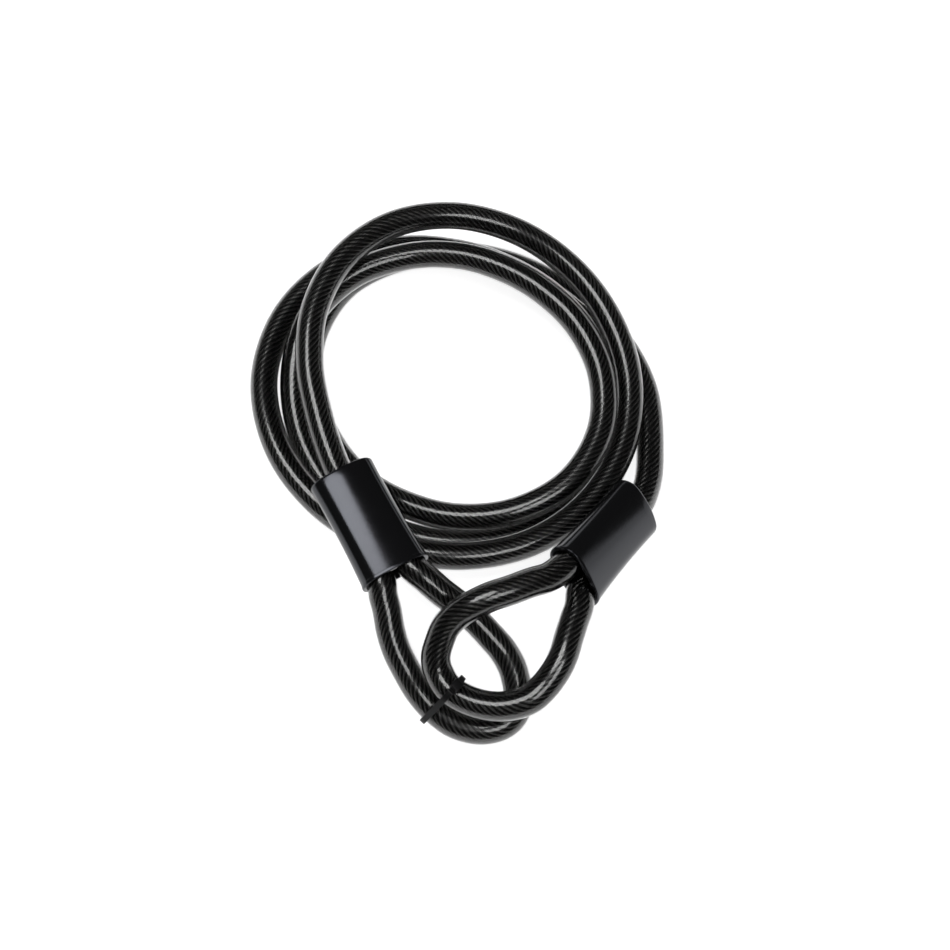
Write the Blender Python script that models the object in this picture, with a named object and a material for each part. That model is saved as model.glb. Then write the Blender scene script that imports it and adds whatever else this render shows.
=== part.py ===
"""Coiled security cable with a fixed eye at each end.

A wire rope in a clear vinyl jacket is wound into a loose bundle that lies on a
bench. Each end of the rope turns back on itself to make an eye. A pressed
aluminium ferrule holds the two legs of the eye, and a black moulded sleeve
covers the ferrule. A small cable tie holds the two eyes together.

Lengths are in metres. The lists of route points are in millimetres, since a
lying cable has no sizes of its own, only places where it happens to lie.
"""
import math

import bmesh
import bpy
from mathutils import Matrix, Vector

# ---------------------------------------------------------------- driving sizes
cable_diameter = 0.012        # over the vinyl jacket
rope_diameter = 0.006         # the wire rope inside it
rope_clearance = 0.0003       # from the rope to the jacket's bore

sleeve_length = 0.0493
sleeve_wall = 0.0015          # at the narrow sides and the middle of each broad side
sleeve_crown_radius = 0.043   # the broad sides are slightly domed across
sleeve_end_wall = 0.0024      # round the hole that the cable comes in through
sleeve_draft = 0.0012         # how much wider the mouth is than the closed end
sleeve_edge = 0.0013          # rounding of the closed end
sleeve_lip = 0.0005           # rounding of the mouth

leg_gap = 0.0006              # between the two legs of an eye in the sleeve
leg_spread = 0.0004           # how far each leg has turned outward at the mouth
leg_side_room = 0.0011        # from a leg to the sleeve's narrow side
leg_face_room = 0.0008        # from a leg to the sleeve's broad side
leg_depth = 0.0140            # how far an eye's jacket reaches into the sleeve
cable_depth = 0.0060          # how far the long jacket reaches into it
hole_clearance = 0.0003       # round the cable in the closed end

ferrule_length = 0.0160
ferrule_start = 0.0150        # from the sleeve's closed end
ferrule_width = 0.0210
ferrule_chamfer = 0.0008
ferrule_clearance = 0.0003    # to the sleeve's broad sides
bore_spacing = 0.0088         # between the ferrule's two bores

strap_thickness = 0.0010
strap_width = 0.0025
strap_clearance = 0.0004
tie_head_length = 0.0042
tie_head_width = 0.0038
tie_head_height = 0.0034
tie_tail = 0.0016             # stub left where the strap's end was cut

flat_depth = 0.1 * cable_diameter    # the lowest turns are cut flat this deep
bore_sides = 24

MM = 0.001

# ------------------------------------------------------- where the cable lies
# The coil: (radius, height of the cable's centre) at each eighth of a half
# turn, clockwise seen from above, from sleeve A's closed end to sleeve B's.
COIL_CENTRE = Vector((-0.5, 37.0, 0.0)) * MM
COIL_START = math.radians(202.5)
COIL_STEP = math.radians(22.5)
COIL = [
    (62.5, 33.7), (62.7, 36.1), (66.2, 38.5), (70.0, 39.3),
    (72.8, 37.3), (73.8, 33.0), (73.5, 27.9), (72.8, 23.5),
    (72.9, 20.6), (74.7, 18.6), (77.0, 16.7), (78.5, 15.5),
    (79.2, 15.6), (79.0, 16.3), (79.3, 17.1), (81.0, 17.9),
    (83.2, 19.0), (84.4, 19.6), (82.6, 19.9), (77.4, 20.1),
    (70.1, 19.1), (64.0, 17.4), (60.7, 16.0), (60.7, 14.6),
    (62.8, 12.6), (65.3, 10.0), (68.0, 7.5), (70.0, 6.1),
    (70.9, 6.0), (70.2, 6.4), (70.5, 7.1), (72.0, 8.9),
    (72.0, 13.1), (71.5, 19.2), (70.8, 24.7), (66.4, 27.2),
    (60.5, 28.1), (56.1, 28.6), (53.5, 28.6), (53.9, 28.0),
    (57.2, 26.9), (61.9, 25.3), (66.0, 23.4), (67.2, 21.4),
    (65.0, 19.2), (61.8, 16.3), (59.2, 12.8), (59.2, 9.0),
    (60.9, 6.7), (65.3, 6.6), (70.6, 7.4), (73.4, 7.5),
    (72.1, 6.6), (69.5, 6.0), (68.5, 6.0), (70.2, 6.0),
    (75.7, 6.2), (82.7, 8.2), (90.1, 11.7),
]

# The eyes: (x, y, z) outside each sleeve's mouth, from one leg to the other.
EYE_A = [
    (-30.0, -63.0, 31.5), (-28.5, -68.5, 29.5), (-27.0, -76.5, 27.0),
    (-24.5, -84.0, 24.0), (-20.5, -91.5, 21.0), (-15.5, -99.5, 19.0),
    (-9.5, -106.0, 17.0), (-2.0, -111.5, 16.0), (6.0, -114.0, 15.5),
    (13.0, -114.0, 15.5), (19.5, -111.5, 15.5), (23.5, -106.5, 15.5),
    (24.5, -100.5, 15.5), (22.5, -90.5, 17.5), (18.5, -83.0, 19.0),
    (14.0, -78.0, 21.0), (8.0, -72.0, 23.5), (1.0, -66.0, 26.0),
    (-6.5, -61.0, 29.0), (-13.0, -56.0, 32.0),
]
EYE_B = [
    (36.5, -58.5, 43.0), (29.0, -61.5, 45.0), (20.5, -65.0, 46.0),
    (13.0, -67.5, 46.0), (6.0, -70.5, 44.5), (0.0, -73.5, 41.5),
    (-4.5, -77.5, 38.0), (-7.0, -82.5, 34.5), (-8.5, -88.0, 31.5),
    (-7.5, -93.5, 29.0), (-3.0, -100.5, 28.5), (6.0, -105.5, 28.5),
    (17.0, -107.5, 29.5), (27.5, -105.5, 31.5), (34.0, -100.5, 33.0),
    (39.0, -94.0, 35.0), (42.0, -88.0, 36.0), (44.0, -81.5, 36.0),
    (46.5, -74.0, 35.5), (48.5, -68.5, 35.0),
]
TIE_PLACE = Vector((-9.0, -105.5, 17.0)) * MM    # on eye A, where the tie sits


def sleeve_pose(mouth, heading, pitch, roll):
    """Frame of a sleeve: +X out of its mouth, Y across its broad side."""
    turn = (Matrix.Rotation(math.radians(heading), 4, "Z")
            @ Matrix.Rotation(math.radians(-pitch), 4, "Y")
            @ Matrix.Rotation(math.radians(roll), 4, "X"))
    return Matrix.Translation(Vector(mouth) * MM) @ turn


SLEEVE_A = sleeve_pose((-24.8, -54.4, 32.9), -61.0, 0.7, 0.0)
SLEEVE_B = sleeve_pose((46.6, -57.0, 36.8), -128.0, 21.8, -40.0)

# ------------------------------------------------------------- derived sizes
cable_radius = cable_diameter / 2
rope_radius = rope_diameter / 2
leg_offset = cable_radius + leg_gap / 2
cavity_thickness = cable_diameter + 2 * leg_face_room
cavity_width = 2 * (leg_offset + cable_radius + leg_side_room)
sleeve_thickness = cavity_thickness + 2 * sleeve_wall
ferrule_thickness = cavity_thickness - 2 * ferrule_clearance
# A six-sided bore's flats must still clear the rope's corners.
jacket_bore_radius = (rope_radius + rope_clearance) / math.cos(math.pi / 6)
ferrule_bore_radius = (rope_radius + rope_clearance) / math.cos(math.pi / bore_sides)

# --------------------------------------------------------------- start clean
for old in list(bpy.data.objects):
    bpy.data.objects.remove(old, do_unlink=True)

scene = bpy.context.scene
parts = bpy.data.collections.new("cable_lock")
cutters = bpy.data.collections.new("cutters")
scene.collection.children.link(parts)
scene.collection.children.link(cutters)
root = bpy.data.objects.new("cable_lock_root", None)
parts.objects.link(root)


def add_part(name, mesh, colour, roughness, metallic=0.0, pose=None):
    """Put one named solid in the assembly, with a material of its own."""
    material = bpy.data.materials.new(name)
    material.use_nodes = True
    shader = material.node_tree.nodes["Principled BSDF"]
    shader.inputs["Base Color"].default_value = (*colour, 1.0)
    shader.inputs["Roughness"].default_value = roughness
    shader.inputs["Metallic"].default_value = metallic
    mesh.name = name
    mesh.materials.clear()
    mesh.materials.append(material)
    part = bpy.data.objects.new(name, mesh)
    parts.objects.link(part)
    part.parent = root
    if pose is not None:
        part.matrix_local = pose
    return part


def add_cutter(name, mesh, pose=None):
    cutter = bpy.data.objects.new(name, mesh)
    cutters.objects.link(cutter)
    cutter.parent = root
    cutter.hide_render = True
    cutter.display_type = "WIRE"
    if pose is not None:
        cutter.matrix_local = pose
    return cutter


def boolean(part, cutter, operation="DIFFERENCE"):
    step = part.modifiers.new(cutter.name, "BOOLEAN")
    step.operation = operation
    step.solver = "EXACT"
    step.object = cutter


def mesh_from(bm, name, smooth_angle=None):
    """Turn a bmesh into a mesh, its faces outward and its round sides smooth."""
    bmesh.ops.recalc_face_normals(bm, faces=bm.faces)
    mesh = bpy.data.meshes.new(name)
    if smooth_angle is not None:
        for face in bm.faces:
            face.smooth = True
        for edge in bm.edges:
            edge.smooth = edge.calc_face_angle(0.0) < math.radians(smooth_angle)
    bm.to_mesh(mesh)
    bm.free()
    return mesh


# ---------------------------------------------------------------- cable routes
def halfway(points):
    """Put one more point between each two, on the smooth curve through them."""
    result = []
    for i in range(len(points) - 1):
        before = points[max(i - 1, 0)]
        after = points[min(i + 2, len(points) - 1)]
        left, right = points[i], points[i + 1]
        result.append(left)
        if i == 0 or i == len(points) - 2:
            result.append((left + right) / 2)
        else:
            result.append((9 * (left + right) - before - after) / 16)
    result.append(points[-1])
    return result


def from_sleeve(pose, depth, side):
    """A point inside a sleeve, at a depth behind its mouth, off to one side."""
    return pose @ Vector((-depth, side, 0.0))


def coil_route():
    cable_end = sleeve_length - cable_depth
    straight = sleeve_length + cable_diameter - cable_depth
    points = [from_sleeve(SLEEVE_A, cable_end, 0.0), from_sleeve(SLEEVE_A, straight, 0.0)]
    for i, (radius, height) in enumerate(COIL):
        angle = COIL_START - i * COIL_STEP
        offset = Vector((radius * math.cos(angle), radius * math.sin(angle), height)) * MM
        points.append(COIL_CENTRE + offset)
    points += [from_sleeve(SLEEVE_B, straight, 0.0), from_sleeve(SLEEVE_B, cable_end, 0.0)]
    return halfway(points)


def eye_route(pose, outside):
    inside = [(leg_depth, leg_offset), (leg_depth / 2, leg_offset), (0.0, leg_offset + leg_spread)]
    points = [from_sleeve(pose, depth, -side) for depth, side in inside]
    points += [Vector(point) * MM for point in outside]
    points += [from_sleeve(pose, depth, side) for depth, side in reversed(inside)]
    return halfway(points)


def least_gap(points, diameter):
    """The least distance between two turns of one tube, skin to skin."""
    run = [0.0]
    for a, b in zip(points, points[1:]):
        run.append(run[-1] + (b - a).length)
    least = None
    for i in range(len(points)):
        for j in range(i + 1, len(points) - 1):
            if run[j] - run[i] < 4 * diameter:
                continue
            a, b = points[j], points[j + 1]
            share = max(0.0, min(1.0, (points[i] - a).dot(b - a) / (b - a).length_squared))
            gap = (points[i] - a.lerp(b, share)).length - diameter
            least = gap if least is None else min(least, gap)
    return least


coil = coil_route()
eye_a = eye_route(SLEEVE_A, EYE_A)
eye_b = eye_route(SLEEVE_B, EYE_B)

bore_side = bore_spacing / 2
bore_near = sleeve_length - ferrule_start + ferrule_clearance
bore_far = sleeve_length - ferrule_start - ferrule_length - ferrule_clearance
rope = [from_sleeve(SLEEVE_A, bore_near, -bore_side), from_sleeve(SLEEVE_A, bore_far, -bore_side)]
rope += eye_a
rope += [from_sleeve(SLEEVE_A, bore_far, bore_side), from_sleeve(SLEEVE_A, bore_near, bore_side)]
rope += coil
rope += [from_sleeve(SLEEVE_B, bore_near, -bore_side), from_sleeve(SLEEVE_B, bore_far, -bore_side)]
rope += eye_b
rope += [from_sleeve(SLEEVE_B, bore_far, bore_side), from_sleeve(SLEEVE_B, bore_near, bore_side)]

length = sum((b - a).length for a, b in zip(coil, coil[1:]))
print("coil length mm", round(length / MM, 1))
print("least gap between turns of the long jacket mm", round(least_gap(coil, cable_diameter) / MM, 2))
print("least gap of eye A to itself mm", round(least_gap(eye_a, cable_diameter) / MM, 2))
print("least gap of eye B to itself mm", round(least_gap(eye_b, cable_diameter) / MM, 2))
print("least gap of the rope to itself mm", round(least_gap(rope, rope_diameter) / MM, 2))


def tube(name, points, radius, overrun=0.0):
    """A closed six-sided tube along the points, as one mesh with filled ends."""
    points = list(points)
    if overrun:
        points[0] = points[0] + (points[0] - points[1]).normalized() * overrun
        points[-1] = points[-1] + (points[-1] - points[-2]).normalized() * overrun
    curve = bpy.data.curves.new(name, "CURVE")
    curve.dimensions = "3D"
    curve.bevel_depth = radius
    curve.bevel_resolution = 1
    curve.use_fill_caps = True
    spline = curve.splines.new("POLY")
    spline.points.add(len(points) - 1)
    for slot, point in zip(spline.points, points):
        slot.co = (*point, 1.0)
    carrier = bpy.data.objects.new(name, curve)
    cutters.objects.link(carrier)
    graph = bpy.context.evaluated_depsgraph_get()
    rough = bpy.data.meshes.new_from_object(carrier.evaluated_get(graph))
    bm = bmesh.new()
    bm.from_mesh(rough)
    bmesh.ops.remove_doubles(bm, verts=bm.verts, dist=1e-6)
    bpy.data.objects.remove(carrier)
    return mesh_from(bm, name, smooth_angle=65)


def box_mesh(name, size, centre=(0.0, 0.0, 0.0)):
    bm = bmesh.new()
    bmesh.ops.create_cube(bm, size=1.0)
    bmesh.ops.scale(bm, vec=size, verts=bm.verts)
    bmesh.ops.translate(bm, vec=centre, verts=bm.verts)
    return mesh_from(bm, name)


def rod_mesh(name, radius, start, end, side):
    """A round rod along X from start to end, off to one side."""
    bm = bmesh.new()
    bmesh.ops.create_cone(bm, cap_ends=True, segments=bore_sides, radius1=radius,
                          radius2=radius, depth=end - start)
    bmesh.ops.rotate(bm, matrix=Matrix.Rotation(math.pi / 2, 3, "Y"), verts=bm.verts)
    bmesh.ops.translate(bm, vec=((start + end) / 2, side, 0.0), verts=bm.verts)
    return mesh_from(bm, name, smooth_angle=40)


# ------------------------------------------------------- rope and its jackets
add_part("wire_rope", tube("wire_rope", rope, rope_radius), (0.55, 0.55, 0.56), 0.35, 1.0)

jackets = {"main_jacket": coil, "eye_jacket_a": eye_a, "eye_jacket_b": eye_b}
for name, points in jackets.items():
    jacket = add_part(name, tube(name, points, cable_radius), (0.05, 0.05, 0.055), 0.2)
    bore = tube(name + "_bore", points, jacket_bore_radius, overrun=cable_radius)
    boolean(jacket, add_cutter(name + "_bore", bore))

# The lowest turns take a flat where they bear on the bench.
lowest = min(point.z for point in coil)
bench = lowest - cable_radius + flat_depth
slab = box_mesh("bench", (0.4, 0.4, 0.02), (0.0, 0.0, bench - 0.01))
boolean(parts.objects["main_jacket"], add_cutter("bench", slab))


# ------------------------------------------------------------ lofted sleeves
def oval(x, width, thickness, inset=0.0, segments=8):
    """A flat outline with fully rounded narrow sides, at one place along X."""
    radius = thickness / 2 - inset
    reach = (width - thickness) / 2
    ring = []
    for side in (1, -1):
        for i in range(segments + 1):
            angle = math.pi * (i / segments - side / 2)
            ring.append(Vector((x, side * reach + radius * math.cos(angle), radius * math.sin(angle))))
    return ring


def domed_oval(x, width, thickness, inset=0.0, segments=8):
    """An outline with domed broad sides that run into its rounded narrow sides."""
    dome = sleeve_crown_radius
    side_radius = (dome * thickness - (width ** 2 + thickness ** 2) / 4) / (2 * dome - width)
    reach = width / 2 - side_radius
    lean = math.asin(reach / (dome - side_radius))
    ring = []
    for side in (1, -1):
        for i in range(segments + 1):
            angle = (math.pi - 2 * lean) * (i / segments - 0.5)
            ring.append(Vector((x, side * (reach + (side_radius - inset) * math.cos(angle)),
                                side * (side_radius - inset) * math.sin(angle))))
        for i in range(1, segments):
            angle = lean * (1 - 2 * i / segments)
            rise = (dome - inset) * math.cos(angle) - dome + thickness / 2
            ring.append(Vector((x, side * (dome - inset) * math.sin(angle), side * rise)))
    return ring


def loft(name, rings, smooth_angle=40):
    """Skin the rings in order and close both ends."""
    bm = bmesh.new()
    loops = [[bm.verts.new(point) for point in ring] for ring in rings]
    count = len(rings[0])
    for near, far in zip(loops, loops[1:]):
        for i in range(count):
            following = (i + 1) % count
            bm.faces.new((near[i], near[following], far[following], far[i]))
    bm.faces.new(loops[0])
    bm.faces.new(loops[-1])
    return mesh_from(bm, name, smooth_angle)


def width_at(x):
    """The cavity's width: the sleeve is drafted, widest at its mouth."""
    return cavity_width + sleeve_draft * x / sleeve_length


def sleeve_outside(name):
    rings = []
    steps = 4
    for i in range(steps + 1):
        turn = math.pi / 2 * i / steps
        x = -sleeve_length + sleeve_edge * (1 - math.cos(turn))
        inset = sleeve_edge * (1 - math.sin(turn))
        rings.append(domed_oval(x, width_at(x) + 2 * sleeve_wall, sleeve_thickness, inset))
    for x, inset in ((-sleeve_lip, 0.0), (0.0, sleeve_lip)):
        rings.append(domed_oval(x, width_at(x) + 2 * sleeve_wall, sleeve_thickness, inset))
    return loft(name, rings)


def sleeve_cavity(name):
    floor = -sleeve_length + sleeve_end_wall
    rings = [oval(x, width_at(x), cavity_thickness) for x in (floor, sleeve_lip)]
    return loft(name, rings)


def ferrule_outside(name):
    start = -sleeve_length + ferrule_start
    end = start + ferrule_length
    rings = []
    for x, inset in ((start, ferrule_chamfer), (start + ferrule_chamfer, 0.0),
                     (end - ferrule_chamfer, 0.0), (end, ferrule_chamfer)):
        rings.append(oval(x, ferrule_width, ferrule_thickness, inset))
    return loft(name, rings)


for letter, pose in (("a", SLEEVE_A), ("b", SLEEVE_B)):
    name = "sleeve_" + letter
    sleeve = add_part(name, sleeve_outside(name), (0.02, 0.02, 0.022), 0.3, pose=pose)
    boolean(sleeve, add_cutter(name + "_cavity", sleeve_cavity(name + "_cavity"), pose))
    hole = rod_mesh(name + "_hole", cable_radius + hole_clearance, -sleeve_length - sleeve_wall,
                    -sleeve_length + sleeve_end_wall + sleeve_wall, 0.0)
    boolean(sleeve, add_cutter(name + "_hole", hole, pose))

    name = "ferrule_" + letter
    ferrule = add_part(name, ferrule_outside(name), (0.62, 0.63, 0.65), 0.4, 1.0, pose=pose)
    start = -sleeve_length + ferrule_start
    for side in (-1, 1):
        label = name + ("_left" if side < 0 else "_right")
        bore = rod_mesh(label, ferrule_bore_radius, start - ferrule_chamfer,
                        start + ferrule_length + ferrule_chamfer, side * bore_side)
        boolean(ferrule, add_cutter(label, bore, pose))


# ------------------------------------------------------------------ cable tie
def crossing(points, centre, direction):
    """Where a route passes through the plane, nearest to its centre."""
    best = None
    for a, b in zip(points, points[1:]):
        near, far = (a - centre).dot(direction), (b - centre).dot(direction)
        if near * far > 0 or near == far:
            continue
        spot = a.lerp(b, near / (near - far))
        if best is None or (spot - centre).length < (best - centre).length:
            best = spot
    return best


def strap_ring(x, radius, spread, segments=10):
    """A belt round two equal circles that lie side by side along Y."""
    return oval(x, 2 * radius + spread, 2 * radius, segments=segments)


nearest = min(range(1, len(eye_a) - 1), key=lambda i: (eye_a[i] - TIE_PLACE).length)
along = (eye_a[nearest + 1] - eye_a[nearest - 1]).normalized()
spot_a = eye_a[nearest]
spot_b = crossing(eye_b, spot_a, along)
across = (spot_b - spot_a).normalized()
axes = Matrix((along, across, along.cross(across))).transposed().to_4x4()
tie_pose = Matrix.Translation((spot_a + spot_b) / 2) @ axes
spread = (spot_b - spot_a).length

strap_inside = cable_radius + strap_clearance
strap_outside = strap_inside + strap_thickness
bm = bmesh.new()
loops = []
for x, radius in ((-strap_width / 2, strap_outside), (strap_width / 2, strap_outside),
                  (strap_width / 2, strap_inside), (-strap_width / 2, strap_inside)):
    loops.append([bm.verts.new(point) for point in strap_ring(x, radius, spread)])
for k in range(4):
    near, far = loops[k], loops[(k + 1) % 4]
    for i in range(len(near)):
        following = (i + 1) % len(near)
        bm.faces.new((near[i], near[following], far[following], far[i]))
tie = add_part("cable_tie", mesh_from(bm, "cable_tie", smooth_angle=50), (0.02, 0.02, 0.02), 0.4,
               pose=tie_pose)

# The locking head rides on the strap, on eye B's inner side.
head_angle = math.radians(25)
head_reach = strap_inside + strap_thickness / 2 + tie_head_height / 2
head_centre = (0.0, spread / 2 + head_reach * math.cos(head_angle), head_reach * math.sin(head_angle))
head_size = (tie_head_width, tie_head_height, tie_head_length)
head_turn = Matrix.Rotation(head_angle, 4, "X")
head_pose = tie_pose @ Matrix.Translation(head_centre) @ head_turn
boolean(tie, add_cutter("tie_head", box_mesh("tie_head", head_size), head_pose), "UNION")
tail_size = (strap_width, strap_thickness, tie_tail + tie_head_length / 2)
tail_centre = (0.0, 0.0, tail_size[2] / 2)
tail = box_mesh("tie_tail", tail_size, tail_centre)
boolean(tie, add_cutter("tie_tail", tail, head_pose), "UNION")

# ----------------------------------------------- stand the part on its origin
bpy.context.view_layer.update()
graph = bpy.context.evaluated_depsgraph_get()
corners = []
for part in parts.objects:
    if part.type == "MESH":
        shape = part.evaluated_get(graph)
        corners += [shape.matrix_world @ vertex.co for vertex in shape.data.vertices]
low = Vector([min(corner[k] for corner in corners) for k in range(3)])
high = Vector([max(corner[k] for corner in corners) for k in range(3)])
root.location = (-(low.x + high.x) / 2, -(low.y + high.y) / 2, -low.z)
print("size mm", [round(value / MM, 2) for value in high - low])
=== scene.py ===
"""Looks of a coiled security cable with a swaged eye at each end.

The jacketed cable, its rope, the pressed ferrules, the moulded sleeves and the
small tie follow each other here as they do when the real cable is made up. Lengths
are in metres, and the lists of route points are in millimetres.
"""
import math

import bmesh
import bpy
from mathutils import Matrix, Vector


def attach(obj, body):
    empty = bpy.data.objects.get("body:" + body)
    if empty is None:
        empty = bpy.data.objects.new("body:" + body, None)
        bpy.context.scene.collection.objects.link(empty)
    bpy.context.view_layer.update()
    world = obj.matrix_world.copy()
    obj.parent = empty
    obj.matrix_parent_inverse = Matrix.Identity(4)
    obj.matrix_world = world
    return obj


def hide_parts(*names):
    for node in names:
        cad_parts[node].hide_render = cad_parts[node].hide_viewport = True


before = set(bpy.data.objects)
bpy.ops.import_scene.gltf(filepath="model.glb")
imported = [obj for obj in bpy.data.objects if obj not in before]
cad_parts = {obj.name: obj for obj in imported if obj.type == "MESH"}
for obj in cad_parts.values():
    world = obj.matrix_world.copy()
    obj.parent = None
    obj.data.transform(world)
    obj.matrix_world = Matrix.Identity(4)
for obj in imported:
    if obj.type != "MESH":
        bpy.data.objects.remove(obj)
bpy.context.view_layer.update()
MM = 0.001

# ------------------------------------------------------------------- the camera
# A camera on a stand in front of the bench, tipped steeply down so that the
# coil shows as a ring and the two eyes hang towards the viewer.
camera_tip = math.radians(70)
camera_distance = 0.6
camera_aim = Vector((7.79, 1.69, -1.14)) * MM


def add_object(name, data):
    """An object that shows this mesh, curve, lamp or camera, set at the origin."""
    made = bpy.data.objects.new(name, data)
    bpy.context.scene.collection.objects.link(made)
    return made


camera_data = bpy.data.cameras.new("camera")
camera_data.lens = 51.67
camera_data.sensor_width = 36.0
camera_data.clip_start = 0.01
camera = add_object("camera", camera_data)
back = Vector((0.0, -math.cos(camera_tip), math.sin(camera_tip)))
camera.location = camera_aim + back * camera_distance
camera.rotation_euler = (math.pi / 2 - camera_tip, 0.0, 0.0)
bpy.context.scene.camera = camera

# ------------------------------------------------------------ the jacketed cable
# A length of wire rope is drawn through a die that lays smoke-tinted clear vinyl
# round it. The jacket is stripped where the rope goes through a ferrule, so that
# it comes in three lengths: the long coil and one short length round each eye.
cable_diameter = 0.012
rope_diameter = 0.006
sleeve_length = 0.0493
leg_offset = 0.0063           # from a sleeve's middle to each leg of its eye
leg_spread = 0.0004           # how much further out a leg lies at the mouth
leg_depth = 0.0140            # how far an eye's jacket reaches into the sleeve
cable_depth = 0.0060          # how far the long jacket reaches into it
vinyl_absorption = 340.0      # per metre: 6 mm of smoky vinyl let an eighth of the light through
coil_step = 0.0022            # between the points of a smoothed route
eye_step = 0.0015
bench_shift = Vector((0.7941, 1.6905, -1.1375)) * MM

COIL_CENTRE = Vector((-0.5, 37.0, 0.0)) * MM
COIL_START = math.radians(202.5)
COIL_STEP = math.radians(22.5)
COIL = [
    (62.5, 33.7), (62.7, 36.1), (66.2, 38.5), (70.0, 39.3),
    (72.8, 37.3), (73.8, 33.0), (73.5, 27.9), (72.8, 23.5),
    (72.9, 20.6), (74.7, 18.6), (77.0, 16.7), (78.5, 15.5),
    (79.2, 15.6), (79.0, 16.3), (79.3, 17.1), (81.0, 17.9),
    (83.2, 19.0), (84.4, 19.6), (82.6, 19.9), (77.4, 20.1),
    (70.1, 19.1), (64.0, 17.4), (60.7, 16.0), (60.7, 14.6),
    (62.8, 12.6), (65.3, 10.0), (68.0, 7.5), (70.0, 6.1),
    (70.9, 6.0), (70.2, 6.4), (70.5, 7.1), (72.0, 8.9),
    (72.0, 13.1), (71.5, 19.2), (70.8, 24.7), (66.4, 27.2),
    (60.5, 28.1), (56.1, 28.6), (53.5, 28.6), (53.9, 28.0),
    (57.2, 26.9), (61.9, 25.3), (66.0, 23.4), (67.2, 21.4),
    (65.0, 19.2), (61.8, 16.3), (59.2, 12.8), (59.2, 9.0),
    (60.9, 6.7), (65.3, 6.6), (70.6, 7.4), (73.4, 7.5),
    (72.1, 6.6), (69.5, 6.0), (68.5, 6.0), (70.2, 6.0),
    (75.7, 6.2), (82.7, 8.2), (90.1, 11.7),
]
EYE_A = [
    (-30.0, -63.0, 31.5), (-28.5, -68.5, 29.5), (-27.0, -76.5, 27.0),
    (-24.5, -84.0, 24.0), (-20.5, -91.5, 21.0), (-15.5, -99.5, 19.0),
    (-9.5, -106.0, 17.0), (-2.0, -111.5, 16.0), (6.0, -114.0, 15.5),
    (13.0, -114.0, 15.5), (19.5, -111.5, 15.5), (23.5, -106.5, 15.5),
    (24.5, -100.5, 15.5), (22.5, -90.5, 17.5), (18.5, -83.0, 19.0),
    (14.0, -78.0, 21.0), (8.0, -72.0, 23.5), (1.0, -66.0, 26.0),
    (-6.5, -61.0, 29.0), (-13.0, -56.0, 32.0),
]
EYE_B = [
    (36.5, -58.5, 43.0), (29.0, -61.5, 45.0), (20.5, -65.0, 46.0),
    (13.0, -67.5, 46.0), (6.0, -70.5, 44.5), (0.0, -73.5, 41.5),
    (-4.5, -77.5, 38.0), (-7.0, -82.5, 34.5), (-8.5, -88.0, 31.5),
    (-7.5, -93.5, 29.0), (-3.0, -100.5, 28.5), (6.0, -105.5, 28.5),
    (17.0, -107.5, 29.5), (27.5, -105.5, 31.5), (34.0, -100.5, 33.0),
    (39.0, -94.0, 35.0), (42.0, -88.0, 36.0), (44.0, -81.5, 36.0),
    (46.5, -74.0, 35.5), (48.5, -68.5, 35.0),
]


def sleeve_pose(mouth, heading, pitch, roll):
    """Frame of a sleeve: +X out of its mouth, Y across its broad side."""
    turn = (Matrix.Rotation(math.radians(heading), 4, "Z")
            @ Matrix.Rotation(math.radians(-pitch), 4, "Y")
            @ Matrix.Rotation(math.radians(roll), 4, "X"))
    return Matrix.Translation(Vector(mouth) * MM + bench_shift) @ turn


SLEEVE_A = sleeve_pose((-24.8, -54.4, 32.9), -61.0, 0.7, 0.0)
SLEEVE_B = sleeve_pose((46.6, -57.0, 36.8), -128.0, 21.8, -40.0)


def from_sleeve(pose, depth, side):
    """A point inside a sleeve, at a depth behind its mouth, off to one side."""
    return pose @ Vector((-depth, side, 0.0))


def coil_points():
    """The long run's route, from inside sleeve A to inside sleeve B."""
    cable_end = sleeve_length - cable_depth
    straight = sleeve_length + cable_diameter - cable_depth
    points = [from_sleeve(SLEEVE_A, cable_end, 0.0), from_sleeve(SLEEVE_A, straight, 0.0)]
    for i, (radius, height) in enumerate(COIL):
        angle = COIL_START - i * COIL_STEP
        offset = Vector((radius * math.cos(angle), radius * math.sin(angle), height)) * MM
        points.append(COIL_CENTRE + offset + bench_shift)
    return points + [from_sleeve(SLEEVE_B, straight, 0.0), from_sleeve(SLEEVE_B, cable_end, 0.0)]


def eye_points(pose, outside):
    """An eye's route: out of its sleeve along one leg and back along the other."""
    inside = [(leg_depth, leg_offset), (leg_depth / 2, leg_offset), (0.0, leg_offset + leg_spread)]
    points = [from_sleeve(pose, depth, -side) for depth, side in inside]
    points += [Vector(point) * MM + bench_shift for point in outside]
    return points + [from_sleeve(pose, depth, side) for depth, side in reversed(inside)]


def smooth_route(points, step):
    """Evenly spaced points, about a step apart, on the curve through the given ones."""
    dense = []
    splits = 12
    for i in range(len(points) - 1):
        left, right = points[i], points[i + 1]
        before = points[i - 1] if i else 2 * left - right
        after = points[i + 2] if i + 2 < len(points) else 2 * right - left
        for k in range(splits):
            t = k / splits
            dense.append(0.5 * (2 * left + (right - before) * t
                                + (2 * before - 5 * left + 4 * right - after) * t ** 2
                                + (3 * left - before - 3 * right + after) * t ** 3))
    dense.append(points[-1])
    run = [0.0]
    for a, b in zip(dense, dense[1:]):
        run.append(run[-1] + (b - a).length)
    count = max(2, round(run[-1] / step))
    route, k = [], 0
    for i in range(count + 1):
        reach = run[-1] * i / count
        while k < len(run) - 2 and run[k + 1] < reach:
            k += 1
        route.append(dense[k].lerp(dense[k + 1], (reach - run[k]) / (run[k + 1] - run[k])))
    return route


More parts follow.
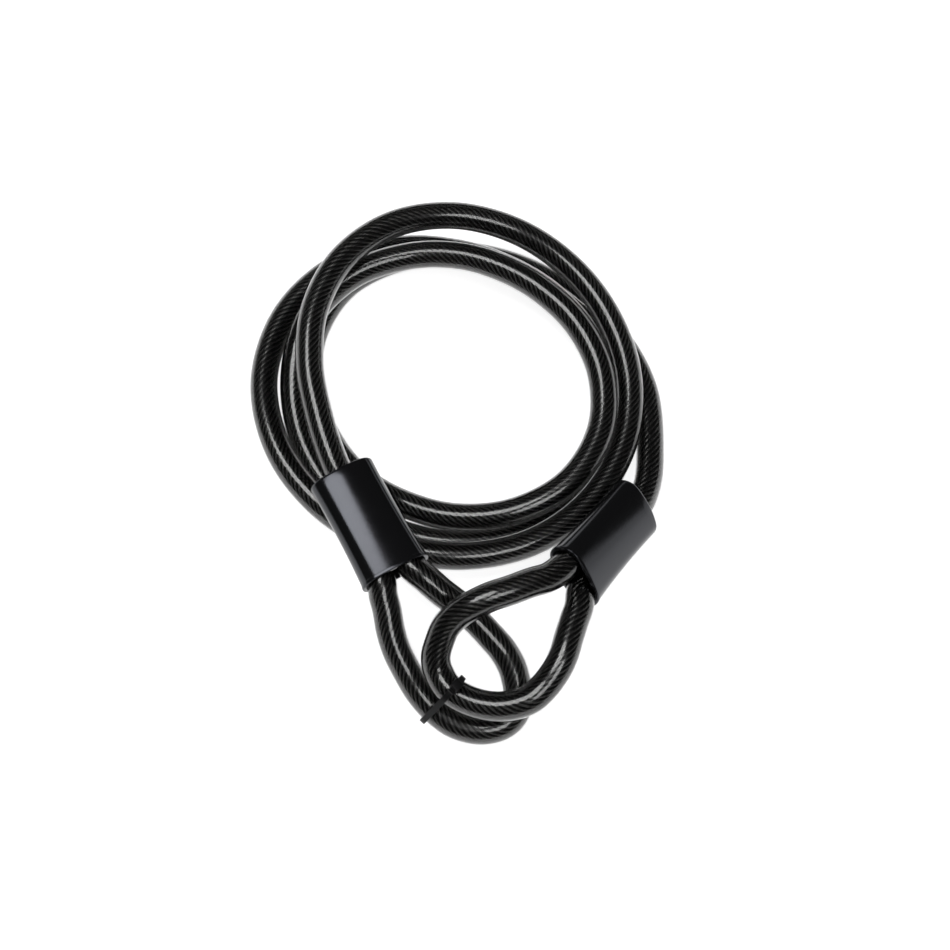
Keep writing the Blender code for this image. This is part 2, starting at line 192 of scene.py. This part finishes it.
def sweep(name, route, radius=None, outline=None, lay=None):
    """Carry a circle, or an outline that turns once in each lay, along a route."""
    curve = bpy.data.curves.new(name, "CURVE")
    curve.dimensions = "3D"
    curve.twist_mode = "MINIMUM"
    curve.use_fill_caps = True
    if outline is None:
        curve.bevel_depth = radius
        curve.bevel_resolution = 12
    else:
        curve.bevel_mode = "OBJECT"
        curve.bevel_object = outline
    spline = curve.splines.new("POLY")
    spline.use_smooth = True
    spline.points.add(len(route) - 1)
    run = 0.0
    for i, (knot, point) in enumerate(zip(spline.points, route)):
        run += (point - route[i - 1]).length if i else 0.0
        knot.co = (*point, 1.0)
        knot.tilt = 0.0 if lay is None else 2 * math.pi * (run / lay % 1.0)
    carrier = add_object(name + "_line", curve)
    graph = bpy.context.evaluated_depsgraph_get()
    mesh = bpy.data.meshes.new_from_object(carrier.evaluated_get(graph))
    bpy.data.objects.remove(carrier)
    mesh.name = name
    return add_object(name, mesh)


class Wire:
    """A value in a material's node tree. Sums with it add the nodes for them."""

    def __init__(self, tree, socket=None):
        self.tree = tree
        self.socket = socket

    def node(self, kind, settings=None, inputs=None, output=0):
        """Add a node with its settings, and give or link the values of its sockets."""
        made = self.tree.nodes.new(kind)
        for key, value in (settings or {}).items():
            if key == "stops":
                ramp = made.color_ramp.elements
                while len(ramp) < len(value):
                    ramp.new(1.0)
                for stop, (place, colour) in zip(ramp, value):
                    stop.position = place
                    stop.color = (*colour, 1.0)
            else:
                setattr(made, key, value)
        for key, value in (inputs or {}).items():
            if isinstance(value, Wire):
                self.tree.links.new(value.socket, made.inputs[key])
            else:
                made.inputs[key].default_value = value
        return Wire(self.tree, made.outputs[output])

    def maths(self, operation, first, second=0.0):
        return self.node("ShaderNodeMath", {"operation": operation}, {0: first, 1: second})

    def __add__(self, other):
        return self.maths("ADD", self, other)

    def __radd__(self, other):
        return self.maths("ADD", other, self)

    def __sub__(self, other):
        return self.maths("SUBTRACT", self, other)

    def __rsub__(self, other):
        return self.maths("SUBTRACT", other, self)

    def __mul__(self, other):
        return self.maths("MULTIPLY", self, other)

    def __rmul__(self, other):
        return self.maths("MULTIPLY", other, self)


def finish_material(name, surface, absorption=0.0):
    """A material with the sockets that surface gives, and an absorption per metre of depth."""
    material = bpy.data.materials.new(name)
    material.use_nodes = True
    tree = material.node_tree
    tree.nodes.clear()
    wire = Wire(tree)
    shader = wire.node("ShaderNodeBsdfPrincipled", {}, surface(wire), "BSDF")
    output = tree.nodes.new("ShaderNodeOutputMaterial")
    tree.links.new(shader.socket, output.inputs["Surface"])
    if absorption:
        depth = {"Color": (0.0, 0.0, 0.0, 1.0), "Density": absorption}
        smoke = wire.node("ShaderNodeVolumeAbsorption", {}, depth)
        tree.links.new(smoke.socket, output.inputs["Volume"])
    return material


def smoke_vinyl(wire):
    place = wire.node("ShaderNodeTexCoord", output="Object")
    sag = wire.node("ShaderNodeTexNoise", {}, {"Vector": place, "Scale": 45.0, "Detail": 2.0})
    handling = wire.node("ShaderNodeTexNoise", {}, {"Vector": place, "Scale": 120.0})
    bump = wire.node("ShaderNodeBump", {}, {"Height": sag, "Strength": 0.05, "Distance": 0.0015})
    return {
        "Base Color": (0.5, 0.5, 0.49, 1.0),
        "Roughness": handling * 0.06 + 0.07,
        "IOR": 1.5,
        "Specular IOR Level": 0.1,
        "Specular Tint": (0.7, 0.7, 0.69, 1.0),
        "Coat Weight": 1.0,
        "Coat Roughness": 0.22,
        "Coat IOR": 1.4,
        "Transmission Weight": 1.0,
        "Normal": bump,
    }


vinyl = finish_material("smoke_vinyl", smoke_vinyl, absorption=vinyl_absorption)
routes = {
    "main_jacket": smooth_route(coil_points(), coil_step),
    "eye_jacket_a": smooth_route(eye_points(SLEEVE_A, EYE_A), eye_step),
    "eye_jacket_b": smooth_route(eye_points(SLEEVE_B, EYE_B), eye_step),
}
cable_radius = cable_diameter / 2
for node, route in routes.items():
    jacket = sweep("vinyl_" + node, route, radius=cable_radius)
    for vertex in jacket.data.vertices:
        vertex.co.z = max(vertex.co.z, 0.0)     # the lowest turns bear on the bench
    jacket.data.materials.clear()
    jacket.data.materials.append(vinyl)
    length = sum((b - a).length for a, b in zip(route, route[1:]))
    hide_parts(node)
    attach(jacket, "root")
    "coiled" if node == "main_jacket" else "loose"

# ---------------------------------------------------------------- the wire rope
# Nine zinc-coated strands are laid up right-handed round a core. One length runs
# from a ferrule, round an eye, through the whole coil and round the other eye.
ferrule_start = 0.0150        # from the sleeve's closed end
ferrule_length = 0.0160
ferrule_gap = 0.0003          # the rope's points stay this far outside its bores
bore_side = 0.0044            # from a sleeve's middle to each bore of its ferrule
strand_count = 9
strand_steps = 6              # points round the part of a strand that shows
strand_start = math.radians(-95)
strand_arc = math.radians(186.2)
rope_lay = 0.026              # a strand goes once round the rope in this length
rope_step = 0.0016


def rope_points():
    """The rope's route, from its dead end at one ferrule to the other's."""
    near = sleeve_length - ferrule_start + ferrule_gap
    far = sleeve_length - ferrule_start - ferrule_length - ferrule_gap
    points = [from_sleeve(SLEEVE_A, near, -bore_side), from_sleeve(SLEEVE_A, far, -bore_side)]
    points += eye_points(SLEEVE_A, EYE_A)
    points += [from_sleeve(SLEEVE_A, far, bore_side), from_sleeve(SLEEVE_A, near, bore_side)]
    points += coil_points()
    points += [from_sleeve(SLEEVE_B, near, -bore_side), from_sleeve(SLEEVE_B, far, -bore_side)]
    points += eye_points(SLEEVE_B, EYE_B)
    return points + [from_sleeve(SLEEVE_B, far, bore_side), from_sleeve(SLEEVE_B, near, bore_side)]


def strand_outline():
    """The rope's cut end: a ring of strands that touch, seen as one outline."""
    share = math.sin(math.pi / strand_count)
    strand_radius = rope_diameter / 2 * share / (1 + share)
    ring_radius = rope_diameter / 2 - strand_radius
    points = []
    for strand in range(strand_count):
        middle = 2 * math.pi * strand / strand_count
        for k in range(strand_steps):
            turn = strand_start + strand_arc * k / (strand_steps - 1)
            x = ring_radius + strand_radius * math.cos(turn)
            y = strand_radius * math.sin(turn)
            points.append((x * math.cos(middle) - y * math.sin(middle),
                           x * math.sin(middle) + y * math.cos(middle)))
    curve = bpy.data.curves.new("strand_outline", "CURVE")
    curve.dimensions = "2D"
    curve.fill_mode = "NONE"
    spline = curve.splines.new("POLY")
    spline.use_cyclic_u = True
    spline.points.add(len(points) - 1)
    for knot, (x, y) in zip(spline.points, points):
        knot.co = (x, y, 0.0, 1.0)
    return add_object("strand_outline", curve)


def zinc_wires(wire):
    place = wire.node("ShaderNodeTexCoord", output="Object")
    cloud = wire.node("ShaderNodeTexNoise", {}, {"Vector": place, "Scale": 900.0, "Detail": 3.0})
    crown = wire.node("ShaderNodeAttribute", {"attribute_name": "crown"}, {}, "Fac")
    # Painted shade: the ramp darkens the grooves between strands to near black, and leaves zinc's own
    # colour on each strand's crown.
    painted_groove_shade = (0.25, (0.02, 0.02, 0.02))
    bright_zinc = (0.85, (0.9, 0.9, 0.88))
    colour = wire.node("ShaderNodeValToRGB", {"stops": [painted_groove_shade, bright_zinc]},
                       {"Fac": crown + (cloud - 0.5) * 0.3})
    return {
        "Base Color": colour,
        "Metallic": 0.85,
        "Roughness": cloud * 0.2 + 0.1,
    }


outline = strand_outline()
rope = sweep("rope_strands", smooth_route(rope_points(), rope_step), outline=outline, lay=rope_lay)
bpy.data.objects.remove(outline)
# crown runs from 0 where two strands meet to 1 on a strand's middle; the zinc material paints shade
# into the grooves from it.
crown = rope.data.attributes.new("crown", "FLOAT", "POINT")
for i in range(len(rope.data.vertices)):
    crown.data[i].value = math.sin(math.pi * (i % strand_steps) / (strand_steps - 1))
rope.data.materials.clear()
rope.data.materials.append(finish_material("zinc_wires", zinc_wires))
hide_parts("wire_rope")
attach(rope, "root")


# --------------------------------------------------------- the pressed ferrules
# Short aluminium tubes with two bores, pressed flat over the two legs of each
# eye. The press leaves the skin dull, rougher in some faint patches than in others.
def pressed_aluminium(wire):
    place = wire.node("ShaderNodeTexCoord", output="Object")
    cloud = wire.node("ShaderNodeTexNoise", {}, {"Vector": place, "Scale": 600.0})
    return {"Base Color": (0.6, 0.6, 0.62, 1.0), "Metallic": 1.0, "Roughness": cloud * 0.3 + 0.25}


aluminium = finish_material("pressed_aluminium", pressed_aluminium)
for name in ("ferrule_a", "ferrule_b"):
    bpy.data.objects[name].material_slots[0].material = aluminium

# ---------------------------------------------------------- the moulded sleeves
# Black glossy PVC, moulded as one piece with a round hole for the cable in its
# closed end. It is pushed over the ferrule, and its broad sides stay domed.
sleeve_wall = 0.0015
sleeve_end_wall = 0.0024
sleeve_draft = 0.0012         # the closed end is narrower than the mouth by this
sleeve_edge = 0.0013          # radius round the closed end
sleeve_lip = 0.0005           # radius round the mouth
sleeve_bead = 0.0002          # a low bead strengthens the mouth
sleeve_bead_length = 0.0014
sleeve_waist = 0.0007         # the wall shrinks in a little halfway along
cavity_width = 0.0268
cavity_thickness = 0.0136
cavity_dome = 0.4
hole_radius = 0.0063
dome_closed = 0.035           # radius of the broad sides' dome at each end
dome_mouth = 0.050
edge_steps = 6
lip_steps = 4
length_steps = 12
sleeve_crease = math.radians(35)


def domed_outline(width, thickness, dome, inset=0.0, steps=16):
    """Points (y, z) round a flat oval whose broad sides are domed."""
    side_radius = (dome * thickness - (width ** 2 + thickness ** 2) / 4) / (2 * dome - width)
    reach = width / 2 - side_radius
    lean = math.asin(reach / (dome - side_radius))
    outline = []
    for side in (1, -1):
        for i in range(steps + 1):
            angle = (math.pi - 2 * lean) * (i / steps - 0.5)
            outline.append((side * (reach + (side_radius - inset) * math.cos(angle)),
                            side * (side_radius - inset) * math.sin(angle)))
        for i in range(1, steps):
            angle = lean * (1 - 2 * i / steps)
            outline.append((side * (dome - inset) * math.sin(angle),
                            side * ((dome - inset) * math.cos(angle) - dome + thickness / 2)))
    return outline


def sleeve_ring(x, inset):
    """The sleeve's outer outline at one place along it, drawn in by an inset."""
    share = 1 + x / sleeve_length
    width = cavity_width + 2 * sleeve_wall - sleeve_draft * (1 - share)
    dome = dome_closed + (dome_mouth - dome_closed) * share
    waist = sleeve_waist * 4 * share * (1 - share)
    outline = domed_outline(width, cavity_thickness + 2 * sleeve_wall, dome, inset + waist)
    return [(x, y, z) for y, z in outline]


def cavity_ring(x):
    """The hollow's outline at one place along the sleeve."""
    width = cavity_width + sleeve_draft * x / sleeve_length
    return [(x, y, z) for y, z in domed_outline(width, cavity_thickness, cavity_dome)]


def hole_ring(x):
    """A round hole's edge, with as many points as the outline has."""
    ring = []
    for _, y, z in cavity_ring(x):
        angle = math.atan2(z / cavity_thickness, y / cavity_width)
        ring.append((x, hole_radius * math.cos(angle), hole_radius * math.sin(angle)))
    return ring


def pulled_from(loop, verts):
    """The new loop's vertices, each beside the old one that it was pulled from."""
    fresh = set(verts)
    return [next(edge.other_vert(old) for edge in old.link_edges if edge.other_vert(old) in fresh)
            for old in loop]


def skin(bm, rings):
    """Pull a ring of edges through the rings in turn, and join the last to the first."""
    loop = [bm.verts.new(point) for point in rings[0]]
    edges = [bm.edges.new((a, b)) for a, b in zip(loop, loop[1:] + loop[:1])]
    for ring in rings[1:]:
        made = bmesh.ops.extrude_edge_only(bm, edges=edges)["geom"]
        edges = [part for part in made if isinstance(part, bmesh.types.BMEdge)]
        verts = [part for part in made if isinstance(part, bmesh.types.BMVert)]
        loop = pulled_from(loop, verts)
        for vertex, point in zip(loop, ring):
            vertex.co = point
    bmesh.ops.bridge_loops(bm, edges=[edge for edge in bm.edges if edge.is_boundary])


def creased_mesh(bm, name, crease):
    """Close the bmesh into a mesh that is smooth but for edges past the crease."""
    for face in bm.faces:
        face.smooth = True
    for edge in bm.edges:
        edge.smooth = edge.calc_face_angle(0.0) < crease
    mesh = bpy.data.meshes.new(name)
    bm.to_mesh(mesh)
    bm.free()
    return mesh


def moulded_black(wire):
    place = wire.node("ShaderNodeTexCoord", output="Object")
    cloud = wire.node("ShaderNodeTexNoise", {}, {"Vector": place, "Scale": 160.0, "Detail": 3.0})
    grain = wire.node("ShaderNodeTexNoise", {}, {"Vector": place, "Scale": 2600.0})
    bump = wire.node("ShaderNodeBump", {}, {"Height": grain, "Strength": 0.05, "Distance": 0.0002})
    return {"Base Color": (0.006, 0.006, 0.0065, 1.0), "Roughness": cloud * 0.06 + 0.11, "IOR": 1.5,
            "Specular Tint": (0.87, 0.9, 1.0, 1.0), "Normal": bump}


black_pvc = finish_material("moulded_black", moulded_black)
for node, pose in (("sleeve_a", SLEEVE_A), ("sleeve_b", SLEEVE_B)):
    rings = [hole_ring(-sleeve_length + sleeve_end_wall), hole_ring(-sleeve_length)]
    for i in range(edge_steps + 1):
        turn = math.pi / 2 * i / edge_steps
        rings.append(sleeve_ring(-sleeve_length + sleeve_edge * (1 - math.cos(turn)),
                                 sleeve_edge * (1 - math.sin(turn))))
    for i in range(length_steps - 1, 0, -1):
        rings.append(sleeve_ring(-sleeve_length * i / length_steps, 0.0))
    rings.append(sleeve_ring(-sleeve_bead_length - sleeve_bead, 0.0))
    rings.append(sleeve_ring(-sleeve_bead_length, -sleeve_bead))
    for i in range(lip_steps + 1):
        turn = math.pi / 2 * i / lip_steps
        rings.append(sleeve_ring(-sleeve_lip * (1 - math.sin(turn)),
                                 sleeve_lip * (1 - math.cos(turn)) - sleeve_bead))
    rings.append(cavity_ring(0.0))
    rings.append(cavity_ring(-sleeve_length + sleeve_end_wall))
    bm = bmesh.new()
    skin(bm, rings)
    bmesh.ops.recalc_face_normals(bm, faces=bm.faces)
    bmesh.ops.transform(bm, matrix=pose, verts=bm.verts)
    mesh = creased_mesh(bm, "moulded_" + node, sleeve_crease)
    mesh.materials.append(black_pvc)
    sleeve = add_object("moulded_" + node, mesh)
    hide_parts(node)
    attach(sleeve, "root")

# ------------------------------------------------------------- the cable tie
# A small black nylon tie holds the two eyes together for the shelf. Its strap
# goes round both cables and through the locking head, and the rest is cut off.
strap_thickness = 0.0010
strap_width = 0.0025
strap_clearance = 0.0004
strap_edge = 0.0003           # the strap's outer edges are softened by this
strap_edge_middle = strap_edge * 0.3    # how far in an edge's middle lies
tie_head_length = 0.0042
tie_head_width = 0.0038
tie_head_height = 0.0034
tie_head_edge = 0.0005
tie_tail = 0.0016             # what the cutter leaves of the strap past the head
head_angle = math.radians(25)
tie_place = Vector((-9.0, -105.5, 17.0)) * MM + bench_shift
tooth_pitch = 0.0006
tooth_height = 0.0002
tie_crease = math.radians(32)


def crossing(points, centre, direction):
    """Where a route passes through the plane, nearest to its centre."""
    spots = []
    for a, b in zip(points, points[1:]):
        near, far = (a - centre).dot(direction), (b - centre).dot(direction)
        if near * far <= 0 and near != far:
            spots.append(a.lerp(b, near / (near - far)))
    return min(spots, key=lambda spot: (spot - centre).length)


def strap_ring(x, radius, steps=20):
    """A belt's edge, round the two cables that lie side by side along Y."""
    ring = []
    for side in (1, -1):
        for i in range(steps + 1):
            angle = math.pi * (i / steps - 0.5)
            y = spread / 2 + radius * math.cos(angle)
            ring.append((x, side * y, side * radius * math.sin(angle)))
    return ring


route_a, route_b = routes["eye_jacket_a"], routes["eye_jacket_b"]
nearest = min(range(1, len(route_a) - 1), key=lambda i: (route_a[i] - tie_place).length)
along = (route_a[nearest + 1] - route_a[nearest - 1]).normalized()
spot_a = route_a[nearest]
spot_b = crossing(route_b, spot_a, along)
spread = (spot_b - spot_a).length
across = (spot_b - spot_a).normalized()
axes = Matrix((along, across, along.cross(across))).transposed().to_4x4()
tie_pose = Matrix.Translation((spot_a + spot_b) / 2) @ axes

bm = bmesh.new()
strap_inside = cable_radius + strap_clearance
strap_outside = strap_inside + strap_thickness
half = strap_width / 2
section = [
    (-half, strap_inside), (-half, strap_outside - strap_edge),
    (strap_edge_middle - half, strap_outside - strap_edge_middle),
    (strap_edge - half, strap_outside),
]
section += [(-x, radius) for x, radius in reversed(section)]
skin(bm, [strap_ring(x, radius) for x, radius in section])

head_reach = strap_inside + strap_thickness / 2 + tie_head_height / 2
head_pose = (Matrix.Translation((0.0, spread / 2 + head_reach * math.cos(head_angle),
                                 head_reach * math.sin(head_angle)))
             @ Matrix.Rotation(head_angle, 4, "X"))
head_size = Matrix.Diagonal((tie_head_width, tie_head_height, tie_head_length, 1.0))
made = bmesh.ops.create_cube(bm, size=1.0, matrix=head_pose @ head_size)["verts"]
edges = list({edge for vertex in made for edge in vertex.link_edges})
bmesh.ops.bevel(bm, geom=edges, offset=tie_head_edge, segments=3, profile=0.5,
                affect="EDGES", material=-1)

tail_reach = tie_head_length / 2 + tie_tail
half_thickness = strap_thickness / 2
teeth = [(-half_thickness, 0.0), (-half_thickness, tail_reach), (half_thickness, tail_reach)]
for i in range(int(tail_reach / tooth_pitch)):
    foot = tail_reach - (i + 0.5) * tooth_pitch
    teeth.append((half_thickness - tooth_height, foot))
    teeth.append((half_thickness, foot - tooth_pitch / 2))
teeth.append((half_thickness, 0.0))
tail_side = bm.faces.new([bm.verts.new(head_pose @ Vector((-half, y, z))) for y, z in teeth])
made = bmesh.ops.extrude_face_region(bm, geom=[tail_side])["geom"]
other_side = [part for part in made if isinstance(part, bmesh.types.BMVert)]
shift = (head_pose @ Vector((strap_width, 0.0, 0.0))) - (head_pose @ Vector())
bmesh.ops.translate(bm, vec=shift, verts=other_side)
bmesh.ops.recalc_face_normals(bm, faces=bm.faces)
bmesh.ops.transform(bm, matrix=tie_pose, verts=bm.verts)
tie_mesh = creased_mesh(bm, "nylon_tie", tie_crease)


def black_nylon(wire):
    place = wire.node("ShaderNodeTexCoord", output="Object")
    cloud = wire.node("ShaderNodeTexNoise", {}, {"Vector": place, "Scale": 900.0, "Detail": 2.0})
    bump = wire.node("ShaderNodeBump", {}, {"Height": cloud, "Strength": 0.1, "Distance": 0.0002})
    return {"Base Color": (0.007, 0.007, 0.0075, 1.0), "Roughness": cloud * 0.15 + 0.35, "IOR": 1.5,
            "Specular IOR Level": 0.15, "Normal": bump}


tie_mesh.materials.append(finish_material("black_nylon", black_nylon))
tie = add_object("nylon_tie", tie_mesh)
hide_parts("cable_tie")
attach(tie, "root")

# --------------------------------------------------------- the bench and lights
# A white bench top stands in a dim room with white walls low down. Two softboxes
# hang over it, a large oval one to the left and a small round one in front.
bench_reach = 3.0
bench_drop = 0.0002           # keeps the jacket's flats just clear of the bench
bench_glow = 0.88             # a little under white, so that a shadow shows
room_glow = 0.04
wall_height = 0.1             # as a share of the way up to straight overhead

bench_mesh = bpy.data.meshes.new("bench")
bm = bmesh.new()
bmesh.ops.create_grid(bm, x_segments=1, y_segments=1, size=bench_reach)
bmesh.ops.translate(bm, vec=(0.0, 0.0, -bench_drop), verts=bm.verts)
bm.to_mesh(bench_mesh)
bm.free()
bench = add_object("bench", bench_mesh)


def white_rays(wire):
    """One for rays that look at the backdrop, straight on or by way of the object."""
    kinds = ("Is Camera Ray", "Is Glossy Ray", "Is Transmission Ray")
    camera_ray, glossy, transmission = (wire.node("ShaderNodeLightPath", output=kind) for kind in kinds)
    return wire.maths("MINIMUM", camera_ray + glossy + transmission, 1.0)


def bench_white(wire):
    return {"Base Color": (0.85, 0.85, 0.85, 1.0), "Roughness": 0.9,
            "Emission Color": white_rays(wire) * bench_glow, "Emission Strength": 1.0}


bench_mesh.materials.append(finish_material("bench_white", bench_white))

world = bpy.data.worlds.new("studio")
bpy.context.scene.world = world
world.use_nodes = True
world.node_tree.nodes.clear()
room = Wire(world.node_tree)
look = room.node("ShaderNodeTexCoord", output="Generated")
height = room.node("ShaderNodeSeparateXYZ", {}, {"Vector": look}, "Z")
low = room.maths("LESS_THAN", height, wall_height)
white = white_rays(room) * low * (1 - room_glow) + room_glow
shade = room.node("ShaderNodeBackground", {}, {"Color": white, "Strength": 1.0})
output = world.node_tree.nodes.new("ShaderNodeOutputWorld")
world.node_tree.links.new(shade.socket, output.inputs["Surface"])


def lamp(name, towards, distance, width, height, power):
    """An oval softbox that hangs at a distance in one direction and faces the coil."""
    data = bpy.data.lights.new(name, "AREA")
    data.shape = "ELLIPSE"
    data.size = width
    data.size_y = height
    data.energy = power
    direction = Vector(towards).normalized()
    facing = direction.to_track_quat("Z", "Y").to_matrix().to_4x4()
    source = add_object(name, data)
    source.matrix_world = Matrix.Translation(camera_aim + direction * distance) @ facing


lamp("softbox", (-0.25, 0.08, 0.96), 2.0, 0.9, 1.1, 16.0)
lamp("small_softbox", (0.20, -0.38, 0.90), 2.0, 0.8, 0.8, 8.5)

bpy.context.scene.view_settings.view_transform = "Standard"
